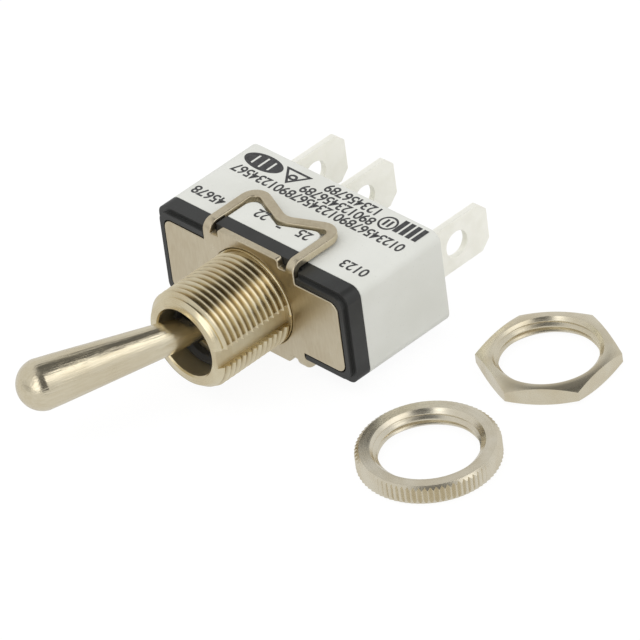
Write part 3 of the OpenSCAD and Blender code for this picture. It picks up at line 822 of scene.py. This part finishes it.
deselectAll()
for mark in marks:
    mark.select_set(True)
bpy.context.view_layer.objects.active = marks[0]
bpy.ops.object.join()
printing = bpy.context.active_object
printing.name = "pad_print"
for face in printing.data.polygons:
    face.select = face.normal.z < 0
bpy.ops.object.mode_set(mode="EDIT")
bpy.ops.mesh.select_mode(type="FACE")
bpy.ops.mesh.flip_normals()
stopEdit()
handOver(printing, materials["ink"], "base")
print("print: %d marks" % len(marks))


# Strengths of the glow from each part of the studio, and the floor's own finish
studio = {"tent": 0.74, "wall": 1.62, "corner": 0.45, "slit": 0.13, "soft": 0.95, "floorSize": 3.0,
          "floor": (0.8, 0.8, 0.79), "floorRough": 0.9, "floorGleam": 0.1, "floorGlow": 0.88, "floorSeen": 1.05,
          "floorShine": 0.76}
# Each patch by its left, right, low and high in degrees, and by how soft its edges are
walls = {"right": (-10, 50, -20, 64, 2.5), "front": (-88, -50, 7, 80, 2.5), "dullCorner": (-135, -88, -14, 13, 4)}
rightFade = (5, 64)  # the right wall brightens from one height to the other
gap = {"toward": -28, "half": 0.36, "soft": 0.03, "front": 0.3, "heights": (2, 9)}
openTop = {"toward": (-0.1, 0.33, 0.94), "inner": 14, "outer": 36}

bpy.ops.mesh.primitive_plane_add(size=studio["floorSize"], location=(0, 0, cadBox[0].z))
floor = bpy.context.active_object
floor.name = "floor"
paper, tree, shader, vector = newMaterial("floor_paper")
shader.inputs["Base Color"].default_value = (*studio["floor"], 1)
shader.inputs["Roughness"].default_value = studio["floorRough"]
shader.inputs["Specular IOR Level"].default_value = studio["floorGleam"]
glow = addNode(tree, "ShaderNodeEmission")
blend = addNode(tree, "ShaderNodeMixShader")
rays = addNode(tree, "ShaderNodeLightPath")
seen, mirrored = rays.outputs["Is Camera Ray"], rays.outputs["Is Glossy Ray"]
tree.links.new(addMath(tree, "MULTIPLY_ADD", seen, studio["floorSeen"] - studio["floorShine"],
                       studio["floorShine"]), glow.inputs["Strength"])
tree.links.new(addMath(tree, "MULTIPLY", addMath(tree, "MAXIMUM", seen, mirrored), studio["floorGlow"]),
               blend.inputs[0])
tree.links.new(shader.outputs[0], blend.inputs[1])
tree.links.new(glow.outputs[0], blend.inputs[2])
tree.links.new(blend.outputs[0], tree.nodes["Material Output"].inputs["Surface"])
floor.data.materials.append(paper)

world = bpy.data.worlds.new("studio")
bpy.context.scene.world = world
world.use_nodes = True
sky = world.node_tree
background = sky.nodes["Background"]
background.inputs["Color"].default_value = (1, 1, 1, 1)
direction = addNode(sky, "ShaderNodeTexCoord").outputs["Generated"]
split = addNode(sky, "ShaderNodeSeparateXYZ")
sky.links.new(direction, split.inputs[0])
eastward, northward, upward = (split.outputs[axis] for axis in "XYZ")
bearing = addMath(sky, "MULTIPLY", addMath(sky, "ARCTAN2", northward, eastward), math.degrees(1))
height = addMath(sky, "MULTIPLY", addMath(sky, "ARCSINE", upward), math.degrees(1))


# A patch of the studio's walls, in degrees around and up, with soft edges
def wallPatch(left, right, low, high, soft):
    sides = addMath(sky, "MULTIPLY", addRange(sky, bearing, left - soft, left + soft),
                    addRange(sky, bearing, right - soft, right + soft, 1.0, 0.0))
    ends = addMath(sky, "MULTIPLY", addRange(sky, height, low - soft, low + soft),
                   addRange(sky, height, high - soft, high + soft, 1.0, 0.0))
    return addMath(sky, "MULTIPLY", sides, ends)


def overhead(toward, inner, outer):
    dot = addNode(sky, "ShaderNodeVectorMath", operation="DOT_PRODUCT")
    sky.links.new(direction, dot.inputs[0])
    dot.inputs[1].default_value = Vector(toward).normalized()
    return addRange(sky, dot.outputs["Value"], math.cos(math.radians(outer)), math.cos(math.radians(inner)))


# The gap that the camera looks through: as wide all the way up, and open overhead
def wallGap(toward, half, soft, front, heights):
    way = math.radians(toward)
    sideways = addMath(sky, "ADD", addMath(sky, "MULTIPLY", eastward, -math.sin(way)),
                       addMath(sky, "MULTIPLY", northward, math.cos(way)))
    forward = addMath(sky, "ADD", addMath(sky, "MULTIPLY", eastward, math.cos(way)),
                      addMath(sky, "MULTIPLY", northward, math.sin(way)))
    narrow = addRange(sky, addMath(sky, "ABSOLUTE", sideways), half - soft, half + soft, 1.0, 0.0)
    ahead = addMath(sky, "MULTIPLY", addRange(sky, forward, -front, front), addRange(sky, height, *heights))
    return addMath(sky, "MULTIPLY", narrow, ahead)


rightWall, frontWall, dullCorner = (wallPatch(*walls[name]) for name in ("right", "front", "dullCorner"))
opening = addMath(sky, "MAXIMUM", wallGap(**gap), overhead(**openTop))
opening = addMath(sky, "MULTIPLY", opening, addMath(sky, "SUBTRACT", 1.0, rightWall))
fading = addMath(sky, "MULTIPLY", rightWall, addRange(sky, height, *rightFade))
bright = addMath(sky, "MAXIMUM", fading, frontWall)
lit = addMath(sky, "ADD", studio["tent"], addMath(sky, "MULTIPLY", bright, studio["wall"] - studio["tent"]))
lit = addMath(sky, "SUBTRACT", lit, addMath(sky, "MULTIPLY", dullCorner, studio["tent"] - studio["corner"]))
shaded = addMath(sky, "ADD", addMath(sky, "MULTIPLY", lit, addMath(sky, "SUBTRACT", 1.0, opening)),
                 addMath(sky, "MULTIPLY", opening, studio["slit"]))
rays = addNode(sky, "ShaderNodeLightPath")
seen, mirrored = rays.outputs["Is Camera Ray"], rays.outputs["Is Glossy Ray"]
falling = addMath(sky, "ADD", addMath(sky, "MULTIPLY", shaded, mirrored),
                  addMath(sky, "MULTIPLY", studio["soft"], addMath(sky, "SUBTRACT", 1.0, mirrored)))
sky.links.new(addMath(sky, "MAXIMUM", falling, seen), background.inputs["Strength"])

lamps = {"key": {"place": (-0.35, -0.25, 0.8), "size": 0.7, "power": 1.2},
         "side": {"place": (0.75, -0.1, 0.3), "size": 0.6, "power": 0.8}}
for name, setting in lamps.items():
    bpy.ops.object.light_add(type="AREA", location=setting["place"])
    lamp = bpy.context.active_object
    lamp.name = name + "_lamp"
    lamp.data.size = setting["size"]
    lamp.data.energy = setting["power"]
    lamp.rotation_euler = (-Vector(setting["place"])).to_track_quat("-Z", "Y").to_euler()
    lamp.visible_glossy = False

view = {"around": -40.539, "up": 36.144, "roll": -7.762, "distance": 0.93, "target": (6.121, 3.749, -2.778),
        "lens": 479.32, "sensor": 36, "near": 0.01}
aim = Vector(view["target"]) * mm
around, up = math.radians(view["around"]), math.radians(view["up"])
back = Vector((math.cos(up) * math.cos(around), math.cos(up) * math.sin(around), math.sin(up)))
bpy.ops.object.camera_add(location=aim + back * view["distance"])
camera = bpy.context.active_object
camera.rotation_euler = ((-back).to_track_quat("-Z", "Y").to_matrix()
                         @ Matrix.Rotation(math.radians(view["roll"]), 3, "Z")).to_euler()
camera.data.lens = view["lens"]
camera.data.sensor_width = view["sensor"]
camera.data.clip_start = view["near"]
bpy.context.scene.camera = camera
bpy.context.scene.view_settings.view_transform = "Standard"
print("studio")
